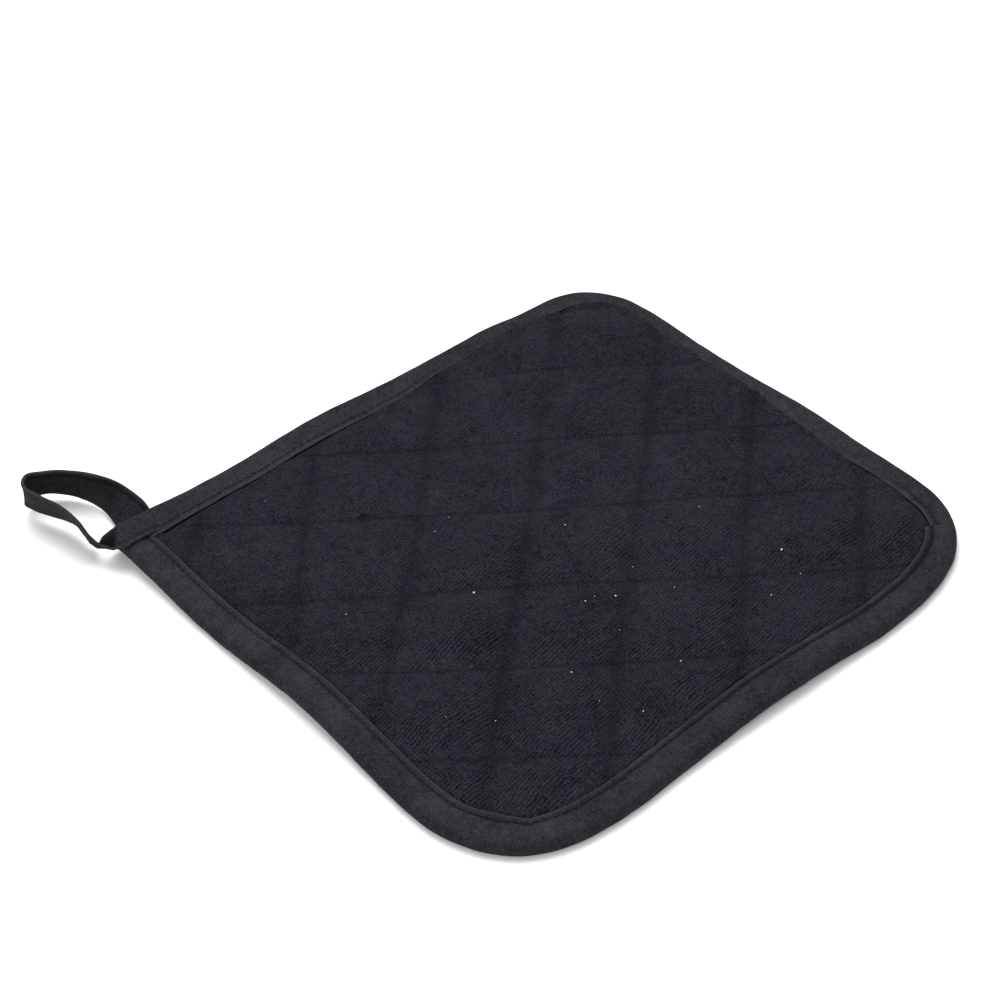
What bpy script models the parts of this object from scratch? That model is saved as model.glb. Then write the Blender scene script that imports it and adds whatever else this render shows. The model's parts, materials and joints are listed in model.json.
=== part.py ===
"""Square quilted pot holder, lying flat, with a bound edge and a hanging loop at one corner.

The square's sides run along X and Y, Z is up, and the origin is on the surface that it lies on, under
the middle of the square. Sizes are in millimetres, and MM turns them into metres. A place on the edge
is its walk: the distance along the outline from the loop's corner, counter-clockwise seen from above.
"""

from collections import namedtuple
from math import ceil, cos, pi, radians, sin

import bmesh
import bpy
import numpy as np
from mathutils import Vector
from mathutils.geometry import delaunay_2d_cdt

MM = 0.001

# The square
SIDE = 200.0
FRONT_RADIUS = 34.0
RIGHT_RADIUS = 42.0
BACK_RADIUS = 29.0
STRAIGHT_STEP = 8.5
ARC_STEP = 6.5

# Heights of the quilted field, from the surface up
PUFF_TOP = 8.0
SEAM_TOP = 5.3
BACK_GROOVE = 0.7
BACK_GROOVE_HALF = 3.2
PUFF_ROUND = 2.6
EDGE_REACH = 10.0
EDGE_SHARE = 0.2

# The bound edge
EDGE_HEIGHT = 5.6
TAPE = 1.0
BACK_FLAP = 10.0
LIP = 0.25
STITCH_IN = 2.2
LAP = 0.9
LAP_OUT = 0.7
LAP_WALK = 12.6
LAP_STEP = 0.3
LAP_FADE = 18.0
FIELD_WALK = 14.6
GAP = 0.4
FIELD_RISE = 1.1
PAD_NIP = 4.0
NIP_START = 3.2
CREASE_WALK = 382.0
CREASE_RUN = 0.6
CREASE_CLEAR = 1.2

# The hanging loop
RIBBON_THICK = 1.2
RIBBON_ROUND = 0.36
RIBBON_STEPS = 4

# How wide the tape shows on the upper face, at places on the edge
Flap = namedtuple("Flap", "walk width")
FLAPS = (
    Flap(0, 10.4),
    Flap(120, 10.5),
    Flap(220, 10.5),
    Flap(290, 11.0),
    Flap(342, 10.4),
    Flap(CREASE_WALK, 9.6),
    Flap(CREASE_WALK + CREASE_RUN, 7.6),
    Flap(398, 9.0),
    Flap(418, 9.4),
    Flap(440, 9.7),
    Flap(462, 8.9),
    Flap(476, 7.2),
    Flap(521, 6.9),
    Flap(549, 6.6),
    Flap(568, 8.6),
    Flap(612, 9.0),
    Flap(628, 9.6),
    Flap(645, 11.4),
    Flap(662, 12.2),
    Flap(690, 11.8),
    Flap(738, 11.6),
    Flap(756, 10.4),
)

# Where the outline waves out of its straight line or in, in the plan
Wave = namedtuple("Wave", "walk half_length out")
WAVES = (
    Wave(50, 30, 0.2),
    Wave(104, 44, -1.0),
    Wave(157, 22, 0.6),
    Wave(178, 20, -0.6),
    Wave(231, 24, 1.1),
    Wave(283, 45, -0.9),
    Wave(315, 25, -0.5),
    Wave(353, 29, -1.8),
    Wave(407, 18, -0.4),
    Wave(457, 30, 1.1),
    Wave(529, 26, 1.0),
    Wave(556, 20, 0.5),
    Wave(583, 22, -2.6),
    Wave(615, 30, -0.3),
    Wave(672, 40, 1.2),
    Wave(740, 45, -2.0),
)

# Where the cloth stands off the surface
Lift = namedtuple("Lift", "x y reach height")
LIFTS = (
    Lift(-100, -4, 46, 2.2),
    Lift(5, -100, 44, 1.8),
    Lift(-22, 100, 38, 1.0),
    Lift(-92, 97, 58, 3.0),
)

# The two families of quilting seams. first is where the first seam crosses the family's normal, and
# each seam wanders from its straight line by the three values of its row.
Wander = namedtuple("Wander", "before middle after")
Family = namedtuple("Family", "angle first pitch seams")
WANDER_ALONG = (-45.0, 0.0, 45.0)
CROSSWISE = Family(
    -39.5,
    118.0,
    35.2,
    (
        Wander(0.0, 0.0, 0.0),
        Wander(-2.6, 2.7, 0.9),
        Wander(-1.3, 0.0, -0.1),
        Wander(1.0, 0.2, 1.4),
        Wander(-0.5, 0.8, -1.0),
        Wander(1.0, 0.2, -0.2),
        Wander(0.6, -0.8, -2.0),
    ),
)
LENGTHWISE = Family(
    44.7,
    111.6,
    34.5,
    (
        Wander(0.0, 0.0, 0.0),
        Wander(-4.0, 0.0, 4.0),
        Wander(-0.7, -1.0, 1.5),
        Wander(0.3, -1.0, -0.2),
        Wander(1.0, 0.3, -0.6),
        Wander(0.5, 1.4, 0.6),
        Wander(0.0, 0.0, 0.0),
    ),
)
CELLS = range(-1, 8)
RING_CLEAR = 1.6
TOP_STEPS = (0.0, 0.1, 0.3, 0.5, 0.7, 0.9)
BACK_STEPS = (0.0, 0.1, 0.5, 0.9)

# The middle line of the loop's ribbon, from the bound corner round to its end under the binding.
# lean is how far the ribbon is turned from lying flat, its outer edge going up. The first row lies
# inside the binding and only sets the direction in which the ribbon leaves it.
Station = namedtuple("Station", "x y z lean width")
RIBBON = (
    Station(-98.6, 94.4, 5.6, 24, 9.0),
    Station(-102.1, 94.8, 5.5, 26, 9.0),
    Station(-104.3, 96.2, 5.5, 42, 8.4),
    Station(-104.8, 98.9, 6.6, 60, 9.6),
    Station(-105.3, 103.6, 8.8, 72, 11.4),
    Station(-105.6, 111.4, 10.2, 67, 12.0),
    Station(-107.6, 120.0, 9.7, 70, 12.0),
    Station(-110.0, 128.2, 9.9, 79, 12.0),
    Station(-108.5, 132.8, 9.8, 100, 12.0),
    Station(-102.7, 133.3, 8.9, 107, 12.0),
    Station(-96.1, 128.0, 8.1, 99, 12.0),
    Station(-91.5, 120.5, 7.5, 85, 12.0),
    Station(-89.0, 112.2, 6.8, 63, 12.0),
    Station(-87.8, 105.0, 4.3, 28, 12.0),
    Station(-87.8, 99.6, 1.9, 4, 12.0),
    Station(-87.6, 91.5, 1.5, 0, 12.0),
)

Edge = namedtuple("Edge", "x y inward_x inward_y walk")
Corner = namedtuple("Corner", "x y radius")


def clear_scene():
    for thing in list(bpy.data.objects):
        bpy.data.objects.remove(thing, do_unlink=True)


def bump(distance, reach):
    """1 at no distance, falling smoothly to 0 at the reach."""
    return cos(pi / 2 * distance / reach) ** 2 if abs(distance) < reach else 0.0


def smooth(share):
    share = min(max(share, 0.0), 1.0)
    return share * share * (3.0 - 2.0 * share)


def lift_at(x, y):
    return sum(row.height * bump(np.hypot(x - row.x, y - row.y), row.reach) for row in LIFTS)


def flap_at(walk):
    return float(np.interp(walk, [row.walk for row in FLAPS], [row.width for row in FLAPS]))


def lap_at(walk):
    """How much higher the tape's end lies where it laps over its start."""
    before_corner = OUTLINE_LENGTH - walk
    if walk < LAP_WALK:
        return LAP
    return LAP * smooth(1.0 - (before_corner - LAP_WALK) / LAP_FADE)


def outline_stretches():
    """The outline's straight sides and rounded corners in walking order: (length, step, place)."""
    half = SIDE / 2
    corners = (
        Corner(-half, half, 0.0),
        Corner(-half, -half, FRONT_RADIUS),
        Corner(half, -half, RIGHT_RADIUS),
        Corner(half, half, BACK_RADIUS),
    )
    stretches = []
    for index, corner in enumerate(corners):
        following = corners[(index + 1) % len(corners)]
        heading = radians(-90 + 90 * index)
        ahead = Vector((cos(heading), sin(heading)))
        inward = Vector((-ahead.y, ahead.x))
        start = Vector((corner.x, corner.y)) + ahead * corner.radius
        length = SIDE - corner.radius - following.radius

        def straight(distance, start=start, ahead=ahead, inward=inward):
            return start + ahead * distance, inward

        stretches.append((length, STRAIGHT_STEP, straight))
        radius = following.radius
        if radius:
            centre = start + ahead * length + inward * radius

            def rounded(distance, centre=centre, radius=radius, heading=heading):
                turned = heading + distance / radius
                inward = Vector((-sin(turned), cos(turned)))
                return centre - inward * radius, inward

            stretches.append((radius * pi / 2, ARC_STEP, rounded))
    return stretches


STRETCHES = outline_stretches()
OUTLINE_LENGTH = sum(length for length, _, _ in STRETCHES)


def wave_at(walk):
    return sum(row.out * bump(walk - row.walk, row.half_length) for row in WAVES)


def edge_at(walk):
    """The outline's point at this walk, with the direction from it into the square."""
    if walk == 0:
        x = -SIDE / 2 - wave_at(0)
        y = SIDE / 2 + wave_at(OUTLINE_LENGTH)
        return Edge(x, y, 1.0, -1.0, walk)
    left = walk
    for length, _, place in STRETCHES:
        if left <= length:
            break
        left -= length
    point, inward = place(left)
    point = point - inward * wave_at(walk)
    return Edge(point.x, point.y, inward.x, inward.y, walk)


def edge_walks():
    """Where the edge's sections stand: evenly on each stretch, and close together at a step."""
    walks = [0.0, LAP_WALK - LAP_STEP, LAP_WALK, CREASE_WALK, CREASE_WALK + CREASE_RUN]
    start = 0.0
    for length, step, _ in STRETCHES:
        count = ceil(length / step)
        walks += [start + length * n / count for n in range(1, count + 1)]
        start += length
    kept = [w for w in walks if w <= LAP_WALK or FIELD_WALK <= w <= OUTLINE_LENGTH - FIELD_WALK]
    kept += [FIELD_WALK, OUTLINE_LENGTH - FIELD_WALK, OUTLINE_LENGTH - LAP_WALK]
    steps = (CREASE_WALK, CREASE_WALK + CREASE_RUN)
    kept = [w for w in kept if w in steps or all(abs(w - s) > CREASE_CLEAR for s in steps)]
    return sorted(set(kept))


EDGES = [edge_at(walk) for walk in edge_walks()]
PAD_EDGES = [
    edge for edge in EDGES if edge.walk == 0 or FIELD_WALK <= edge.walk <= OUTLINE_LENGTH - FIELD_WALK
]


def inside_edge(edge, distance):
    """The plan point this far in from the outline."""
    return edge.x + edge.inward_x * distance, edge.y + edge.inward_y * distance


def seam_normal(family):
    angle = radians(family.angle)
    return np.array((-sin(angle), cos(angle)))


def seam_position(family, index, point):
    """Where a seam crosses the family's normal, beside this point."""
    position = family.first - family.pitch * index
    if 0 <= index < len(family.seams):
        normal = seam_normal(family)
        along = normal[1] * point[0] - normal[0] * point[1]
        position += np.interp(along, WANDER_ALONG, family.seams[index])
    return position


def seam_gap(family, point):
    """Distance from a point to the family's nearest seam."""
    across = seam_normal(family) @ point
    return min(abs(across - seam_position(family, n, point)) for n in range(len(family.seams)))


def puff_rise(family, point):
    """0 on a seam, rising steeply beside it to 1 halfway to the next."""
    share = min(seam_gap(family, point) / (family.pitch / 2), 1.0)
    return 1.0 - (1.0 - share) ** PUFF_ROUND


def field_top(point, from_edge):
    edge = EDGE_SHARE + (1.0 - EDGE_SHARE) * smooth(from_edge / EDGE_REACH)
    rise = puff_rise(CROSSWISE, point) * puff_rise(LENGTHWISE, point) * edge
    return SEAM_TOP + (PUFF_TOP - SEAM_TOP) * rise + lift_at(*point)


def field_back(point, from_edge):
    """The underside is flat under each puff, with a shallow groove under each seam."""
    nearest = min(seam_gap(CROSSWISE, point), seam_gap(LENGTHWISE, point))
    return BACK_GROOVE * max(0.0, 1.0 - nearest / BACK_GROOVE_HALF) + lift_at(*point)


def quilt_points(steps):
    """Points on the seams and at the given shares of the way to the next seam, over the whole square."""
    normals = np.array((seam_normal(CROSSWISE), seam_normal(LENGTHWISE)))
    shares = [(cell, share) for cell in CELLS for share in steps]
    points = []
    for row, row_share in shares:
        for column, column_share in shares:
            point = np.zeros(2)
            for _ in range(4):
                across = [
                    (1 - share) * seam_position(family, cell, point)
                    + share * seam_position(family, cell + 1, point)
                    for family, cell, share in (
                        (CROSSWISE, row, row_share),
                        (LENGTHWISE, column, column_share),
                    )
                ]
                point = np.linalg.solve(normals, across)
            points.append(point)
    return points


def ring_distance(ring, point):
    """How far inside the ring the point lies, or a negative number outside it."""
    starts = np.array(ring)
    sides = np.roll(starts, -1, axis=0) - starts
    to_point = point - starts
    share = np.clip((to_point * sides).sum(1) / (sides**2).sum(1), 0, 1)
    nearest = np.linalg.norm(to_point - sides * share[:, None], axis=1).min()
    above = starts[:, 1] > point[1]
    crossing = above != np.roll(above, -1)
    with np.errstate(divide="ignore", invalid="ignore"):
        cut = starts[:, 0] + sides[:, 0] * (point[1] - starts[:, 1]) / sides[:, 1]
    inside = np.count_nonzero(crossing & (point[0] < cut)) % 2 == 1
    return nearest if inside else -nearest


def add_ring(mesh, points):
    return [mesh.verts.new(Vector(point) * MM) for point in points]


def join_rings(mesh, first, second):
    count = len(first)
    for n in range(count):
        after = (n + 1) % count
        mesh.faces.new((first[n], first[after], second[after], second[n]))


def fill_field(mesh, ring, plan, points, height, upward):
    """Fills a ring with triangles whose inner points lie on the height function."""
    inner = [point for point in points if ring_distance(plan, point) > RING_CLEAR]
    flat = [Vector(point) for point in plan] + [Vector(point) for point in inner]
    made = delaunay_2d_cdt(flat, [], [list(range(len(plan)))], 1, 1e-5)
    verts = list(ring)
    for point in inner:
        top = height(point, ring_distance(plan, point))
        verts.append(mesh.verts.new(Vector((point[0], point[1], top)) * MM))
    own = [came_from[0] for came_from in made[3]]
    for triangle in made[2]:
        corners = [verts[own[n]] for n in triangle]
        mesh.faces.new(corners if upward else corners[::-1])


def finish_object(name, mesh, material, sharp_degrees):
    bmesh.ops.recalc_face_normals(mesh, faces=mesh.faces)
    bmesh.ops.triangulate(mesh, faces=mesh.faces)
    data = bpy.data.meshes.new(name)
    mesh.to_mesh(data)
    mesh.free()
    data.shade_smooth()
    data.set_sharp_from_angle(angle=radians(sharp_degrees))
    data.materials.append(material)
    made = bpy.data.objects.new(name, data)
    bpy.context.scene.collection.objects.link(made)
    return made


def cloth_material(name, colour, roughness):
    material = bpy.data.materials.new(name)
    material.use_nodes = True
    shader = material.node_tree.nodes["Principled BSDF"]
    shader.inputs["Base Color"].default_value = (*colour, 1.0)
    shader.inputs["Roughness"].default_value = roughness
    shader.inputs["Metallic"].default_value = 0.0
    return material


def quilted_pad():
    """Terry, wadding and backing quilted into one body, its cut edge nipped inside the binding."""
    mesh = bmesh.new()

    def ring_at(distance_in, height):
        points = []
        for edge in PAD_EDGES:
            x, y = inside_edge(edge, distance_in(edge))
            points.append((x, y, height + lift_at(x, y)))
        return points

    nip_back = EDGE_HEIGHT - PAD_NIP
    cut_edge = add_ring(mesh, ring_at(lambda edge: TAPE + GAP, EDGE_HEIGHT / 2))
    top_outer = add_ring(mesh, ring_at(lambda edge: NIP_START, PAD_NIP))
    top_nip = add_ring(mesh, ring_at(lambda edge: flap_at(edge.walk) + GAP, PAD_NIP))
    back_outer = add_ring(mesh, ring_at(lambda edge: NIP_START, nip_back))
    back_nip = add_ring(mesh, ring_at(lambda edge: BACK_FLAP + GAP, nip_back))

    top_plan = [inside_edge(e, flap_at(e.walk) + GAP + FIELD_RISE) for e in PAD_EDGES]
    top_field = add_ring(mesh, [(x, y, field_top(np.array((x, y)), 0.0)) for x, y in top_plan])
    back_plan = [inside_edge(e, BACK_FLAP + GAP + FIELD_RISE) for e in PAD_EDGES]
    back_field = add_ring(mesh, [(x, y, field_back(np.array((x, y)), 0.0)) for x, y in back_plan])

    rings = (top_field, top_nip, top_outer, cut_edge, back_outer, back_nip, back_field)
    for first, second in zip(rings, rings[1:]):
        join_rings(mesh, first, second)
    fill_field(mesh, top_field, top_plan, quilt_points(TOP_STEPS), field_top, True)
    fill_field(mesh, back_field, back_plan, quilt_points(BACK_STEPS), field_back, False)
    terry = cloth_material("black_terry", (0.020, 0.020, 0.026), 0.95)
    return finish_object("quilted_pad", mesh, terry, 50)


def tape_section(flap, lap):
    """The folded tape's section as (in from the outline, up): its outside, then its inside."""
    top = EDGE_HEIGHT + lap
    out = lap * LAP_OUT / LAP
    inner_top = EDGE_HEIGHT - TAPE
    outside = (
        (flap, top + LIP),
        (flap - STITCH_IN, top - LIP),
        (flap - 2 * STITCH_IN, top),
        (2.4 - out, top),
        (0.8 - out, top - 0.7),
        (0.1 - out, top - 1.9),
        (-out, EDGE_HEIGHT / 2),
        (0.1 - out, 1.9),
        (0.8 - out / 2, 0.7),
        (2.4, 0.0),
        (BACK_FLAP, 0.0),
    )
    inside = (
        (BACK_FLAP, TAPE),
        (2.9, TAPE),
        (1.3, 2.0),
        (TAPE, EDGE_HEIGHT / 2),
        (1.3, inner_top - 1.0),
        (2.9, inner_top),
        (flap - STITCH_IN, inner_top - LIP),
        (flap, inner_top + LIP),
    )
    return outside + inside


def edge_binding():
    """Woven bias tape folded round the whole edge, its end lapped over its start at the loop."""
    mesh = bmesh.new()
    sections = []
    for edge in EDGES:
        points = []
        for distance, height in tape_section(flap_at(edge.walk), lap_at(edge.walk)):
            x, y = inside_edge(edge, distance)
            points.append((x, y, height + lift_at(x, y)))
        sections.append(add_ring(mesh, points))
    for first, second in zip(sections, sections[1:] + sections[:1]):
        join_rings(mesh, first, second)
    tape = cloth_material("black_tape", (0.042, 0.041, 0.050), 0.7)
    return finish_object("edge_binding", mesh, tape, 40)


def ribbon_stations():
    """The stations and the points between them, on a smooth curve through them all."""
    rows = [np.array(row, float) for row in RIBBON]
    rows.append(2 * rows[-1] - rows[-2])
    smoothed = []
    for n in range(1, len(rows) - 2):
        before, start, end, after = rows[n - 1 : n + 3]
        for step in range(RIBBON_STEPS):
            t = step / RIBBON_STEPS
            smoothed.append(
                start
                + 0.5 * t * (end - before)
                + t**2 * (before - 2.5 * start + 2 * end - 0.5 * after)
                + t**3 * (1.5 * start - 0.5 * before - 1.5 * end + 0.5 * after)
            )
    return smoothed + [rows[-2]]


def ribbon_section(width):
    """The ribbon's section as (across, along its face), with softly rounded edges."""
    half = width / 2
    thick = RIBBON_THICK / 2
    shoulder = half - RIBBON_ROUND
    return (
        (half, 0.0),
        (shoulder, thick),
        (0.0, thick),
        (-shoulder, thick),
        (-half, 0.0),
        (-shoulder, -thick),
        (0.0, -thick),
        (shoulder, -thick),
    )


def hanging_loop():
    """The tape's tail, folded flat to a narrow ribbon that turns back on itself and stands on edge."""
    mesh = bmesh.new()
    stations = ribbon_stations()
    sections = []
    for n, station in enumerate(stations):
        ahead = stations[min(n + 1, len(stations) - 1)] - stations[max(n - 1, 0)]
        ahead = Vector(ahead[:3]).normalized()
        side = Vector((0, 0, 1)).cross(ahead).normalized()
        lean = radians(station[3])
        across = side * cos(lean) + ahead.cross(side) * sin(lean)
        face = ahead.cross(across)
        middle = Vector(station[:3])
        outline = ribbon_section(station[4])
        sections.append(add_ring(mesh, [middle + across * u + face * v for u, v in outline]))
    for first, second in zip(sections, sections[1:]):
        join_rings(mesh, first, second)
    mesh.faces.new(sections[0])
    mesh.faces.new(sections[-1])
    tape = cloth_material("black_ribbon", (0.030, 0.030, 0.036), 0.7)
    return finish_object("hanging_loop", mesh, tape, 60)


clear_scene()
whole = bpy.data.objects.new("pot_holder", None)
bpy.context.scene.collection.objects.link(whole)
for piece in (quilted_pad(), edge_binding(), hanging_loop()):
    piece.parent = whole
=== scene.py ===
"""Quilted black terry pot holder with a taped edge and a standing hanging loop, on a white table.

The square's sides run along X and Y, Z is up, and the origin is on the table under its middle. Sizes
are in millimetres, and MM turns them into metres. A walk is a distance along the outline from the
loop's corner, counter-clockwise seen from above.
"""

import json
from collections import namedtuple
from functools import partial, reduce
from math import cos, pi, radians, sin

import bpy
import numpy as np
from mathutils import Matrix, Vector

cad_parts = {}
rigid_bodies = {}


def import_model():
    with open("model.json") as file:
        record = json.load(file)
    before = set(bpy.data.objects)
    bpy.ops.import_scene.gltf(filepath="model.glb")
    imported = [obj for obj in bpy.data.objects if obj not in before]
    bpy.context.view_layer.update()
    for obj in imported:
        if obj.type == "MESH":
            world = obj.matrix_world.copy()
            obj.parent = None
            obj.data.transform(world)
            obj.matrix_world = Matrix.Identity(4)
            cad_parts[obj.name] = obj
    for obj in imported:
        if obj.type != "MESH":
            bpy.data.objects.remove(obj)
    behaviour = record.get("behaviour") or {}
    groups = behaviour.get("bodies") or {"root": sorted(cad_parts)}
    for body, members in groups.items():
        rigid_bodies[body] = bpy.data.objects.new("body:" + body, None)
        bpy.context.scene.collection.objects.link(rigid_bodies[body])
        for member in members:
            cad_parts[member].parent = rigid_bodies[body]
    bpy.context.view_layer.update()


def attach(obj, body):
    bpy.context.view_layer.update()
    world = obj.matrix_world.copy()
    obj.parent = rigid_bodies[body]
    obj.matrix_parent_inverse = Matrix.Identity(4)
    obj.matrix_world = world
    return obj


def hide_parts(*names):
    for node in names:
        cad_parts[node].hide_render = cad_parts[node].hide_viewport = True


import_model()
MM = 0.001


# ---------------------------------------------------------------------------------------------------
# The white table top, with soft light from a wide overhead softbox and from the white room round it,
# and the camera, which looks down at forty degrees past the front left side.

CAMERA_AT = (-343.250, -468.891, 508.229)
CAMERA_RIGHT = (0.773335, -0.627881, -0.087860)
CAMERA_UP = (0.458280, 0.457843, 0.761813)
CAMERA_BACK = (-0.438102, -0.629401, 0.641811)
LENS = 89.70
SENSOR = 36.0
NEAREST_SEEN = 0.01
TABLE_HALF = 4000.0
TABLE_WHITE = (0.93, 0.93, 0.94, 1.0)
ROOM_LIGHT = 0.76

view = bpy.data.cameras.new("view")
view.sensor_width = SENSOR
view.lens = LENS
view.clip_start = NEAREST_SEEN
camera = bpy.data.objects.new("camera", view)
collection = bpy.context.scene.collection.objects
collection.link(camera)
turned = Matrix((CAMERA_RIGHT, CAMERA_UP, CAMERA_BACK)).transposed().to_4x4()
camera.matrix_world = Matrix.Translation(Vector(CAMERA_AT) * MM) @ turned
bpy.context.scene.camera = camera
bpy.context.scene.view_settings.view_transform = "Standard"

room = bpy.data.worlds.new("white_room")
room.use_nodes = True
room_light = room.node_tree.nodes["Background"].inputs
room_light["Color"].default_value = (1.0, 1.0, 1.0, 1.0)
room_light["Strength"].default_value = ROOM_LIGHT
bpy.context.scene.world = room


def table(columns, *rows):
    """Rows of values under these column names."""
    Row = namedtuple("Row", columns)
    return [Row(*row) for row in rows]


SOFTBOXES = table(
    "name x y z aim_x aim_y size watts",
    ("overhead_softbox", 120, 260, 900, 0, 0, 700, 8.6),
    ("front_fill", -700, -500, 700, 0, 0, 500, 2.4),
)
for row in SOFTBOXES:
    lamp = bpy.data.lights.new(row.name, "AREA")
    lamp.size = row.size * MM
    lamp.energy = row.watts
    lamp_object = bpy.data.objects.new(row.name, lamp)
    collection.link(lamp_object)
    lamp_object.location = Vector((row.x, row.y, row.z)) * MM
    aim = Vector((row.aim_x - row.x, row.aim_y - row.y, -row.z))
    lamp_object.rotation_euler = aim.to_track_quat("-Z", "Y").to_euler()


def plain_material(name, colour, roughness, specular=0.5, sheen=0.0):
    made = bpy.data.materials.new(name)
    made.use_nodes = True
    shader = made.node_tree.nodes["Principled BSDF"]
    shader.inputs["Base Color"].default_value = colour
    shader.inputs["Roughness"].default_value = roughness
    shader.inputs["Specular IOR Level"].default_value = specular
    shader.inputs["Sheen Weight"].default_value = sheen
    return made


def mesh_object(name, points, faces, materials=()):
    """A new object at the origin, from points in millimetres."""
    data = bpy.data.meshes.new(name)
    data.from_pydata([tuple(p) for p in np.asarray(points) * MM], [], [tuple(f) for f in faces])
    data.shade_smooth()
    for material in materials:
        data.materials.append(material)
    data.update()
    made = bpy.data.objects.new(name, data)
    collection.link(made)
    return made


table_top = mesh_object(
    "table_top",
    [(x * TABLE_HALF, y * TABLE_HALF, 0.0) for x, y in ((-1, -1), (1, -1), (1, 1), (-1, 1))],
    [(0, 1, 2, 3)],
    [plain_material("white_table", TABLE_WHITE, 0.6)],
)


# ---------------------------------------------------------------------------------------------------
# The quilted square: black cotton terry over wadding, with a plain cotton back, sewn together by two
# crossing families of straight seams that pull the cloth down into grooves between soft puffs.

SIDE = 200.0
FRONT_RADIUS = 34.0
RIGHT_RADIUS = 42.0
BACK_RADIUS = 29.0

# Where the outline swings out of its straight course
WAVES = table(
    "walk half_length out",
    (50, 30, 0.2), (104, 44, -1.0), (157, 22, 0.6), (178, 20, -0.6), (231, 24, 1.1),
    (283, 45, -0.9), (315, 25, -0.5), (353, 29, -1.8), (407, 18, -0.4), (457, 30, 1.1),
    (529, 26, 1.0), (556, 20, 0.5), (583, 22, -2.6), (615, 30, -0.3), (672, 40, 1.2),
    (740, 45, -2.0),
)

# Where the cloth stands off the table top
LIFTS = table(
    "x y reach height",
    (-100, -4, 46, 2.2), (5, -100, 44, 1.8), (-22, 100, 38, 1.0), (-92, 97, 58, 3.0),
)

# How far in from the outline the tape shows on the upper face
FLAPS = table(
    "walk width",
    (0, 10.0), (60, 10.4), (120, 10.5), (194, 10.7), (199, 9.9), (204, 10.4), (290, 11.0),
    (342, 10.4), (382, 9.6), (382.6, 7.6), (398, 9.2), (418, 9.0), (438, 9.9), (450, 8.8),
    (463, 8.9), (475, 6.5), (521, 6.9), (540, 6.5), (552, 6.1), (560, 8.4), (572, 9.4), (584, 8.3),
    (612, 9.1), (628, 9.5), (641, 11.6), (660, 12.7), (687, 12.0), (715, 11.8), (734, 12.3),
    (742, 13.4), (756, 12.6),
)

# The seams: each family's angle, where its first seam crosses the family's normal, their pitch, how
# softly the cloth turns down to them, and how far each one wanders at three places along it
WANDER_ALONG = (-45.0, 0.0, 45.0)
Family = namedtuple("Family", "angle first pitch soft wander")
CROSSWISE = Family(
    angle=-39.5,
    first=118.0,
    pitch=35.2,
    soft=0.9,
    wander=(
        (0.0, 0.0, 0.0), (-2.6, 2.7, 0.9), (-1.3, 0.0, -0.1), (1.0, 0.2, 1.4), (-0.5, 0.8, -1.0),
        (1.0, 0.2, -0.2), (0.6, -0.8, -2.0),
    ),
)
LENGTHWISE = Family(
    angle=44.7,
    first=111.6,
    pitch=34.5,
    soft=2.4,
    wander=(
        (0.0, 0.0, 0.0), (-4.0, 0.0, 4.0), (-0.7, -1.0, 1.5), (0.3, -1.0, -0.2), (1.0, 0.3, -0.6),
        (0.5, 1.4, 0.6), (0.0, 0.0, 0.0),
    ),
)

# How high the puffs and the seams are, and how full the puffs
PUFF_TOP = 8.0
SEAM_TOP = 5.3
PUFF_ROUND = 2.6
# Beside the tape the puffs are this share of their height, and whole past this reach
EDGE_REACH = 10.0
EDGE_SHARE = 0.2
# The swell of whole puffs, and the finer unevenness of the cloth
SWELL = 0.35
SWELL_WAVE = 38.0
UNEVENNESS = table("height wave slant squeeze seed", (0.14, 9.0, 0.0, 1.0, 4), (0.06, 3.6, 0.0, 1.0, 5))
# A bulge over the lip: how far in it is highest, how wide, how little of it the seams leave and how
# far from them it is whole, and the ragged edge with which it covers the lip
BULGE_IN = 0.5
BULGE_HALF = 3.5
BULGE_AT_SEAMS = 0.45
OFF_CROSSWISE = 4.0
OFF_LENGTHWISE = 5.0
LIP_COVERED = 0.6
LIP_RAGGED = 0.35
LIP_RAGGED_WAVE = 5.0
# The under face, the nip in the tape's fold, where the cloth is cut, and the grid of its points
BACK_GROOVE = 0.7
BACK_GROOVE_HALF = 3.2
NIP_TOP = 4.0
NIP_BACK = 1.6
BACK_FLAP = 10.0
CUT_EDGE_IN = 2.8
RISE_RUN = 1.3
NIP_UNDER = 0.5
CELL = 1.05
OUTLINE_STEP = 0.5
CHUNK = 4000

# How clearly the tape's lip and sewn groove stand out along it
GROOVES = table(
    "walk strength",
    (0, 0.35), (150, 0.5), (250, 0.7), (300, 1.0), (382, 1.0), (384, 0.4), (400, 0.3), (420, 0.1),
    (452, 0.0), (612, 0.0), (640, 0.25), (756, 0.3),
)

# Where the terry bulges over the lip
BULGES = table(
    "walk height",
    (0, 0.0), (396, 0.0), (412, 0.45), (450, 0.8), (478, 1.5), (540, 1.6), (556, 0.5), (562, 1.2),
    (570, 0.4), (580, 1.3), (610, 1.1), (640, 0.4), (660, 0.0), (756, 0.0),
)


def smooth(share):
    share = np.clip(share, 0.0, 1.0)
    return share * share * (3.0 - 2.0 * share)


def bump_at(distance, reach):
    """1 at no distance, falling smoothly to 0 at the reach."""
    return np.where(np.abs(distance) < reach, np.cos(pi / 2 * distance / reach) ** 2, 0.0)


def hump(offset, half_width):
    """1 at no offset, falling away on both sides as a bell."""
    return np.exp(-((offset / half_width) ** 2))


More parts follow.
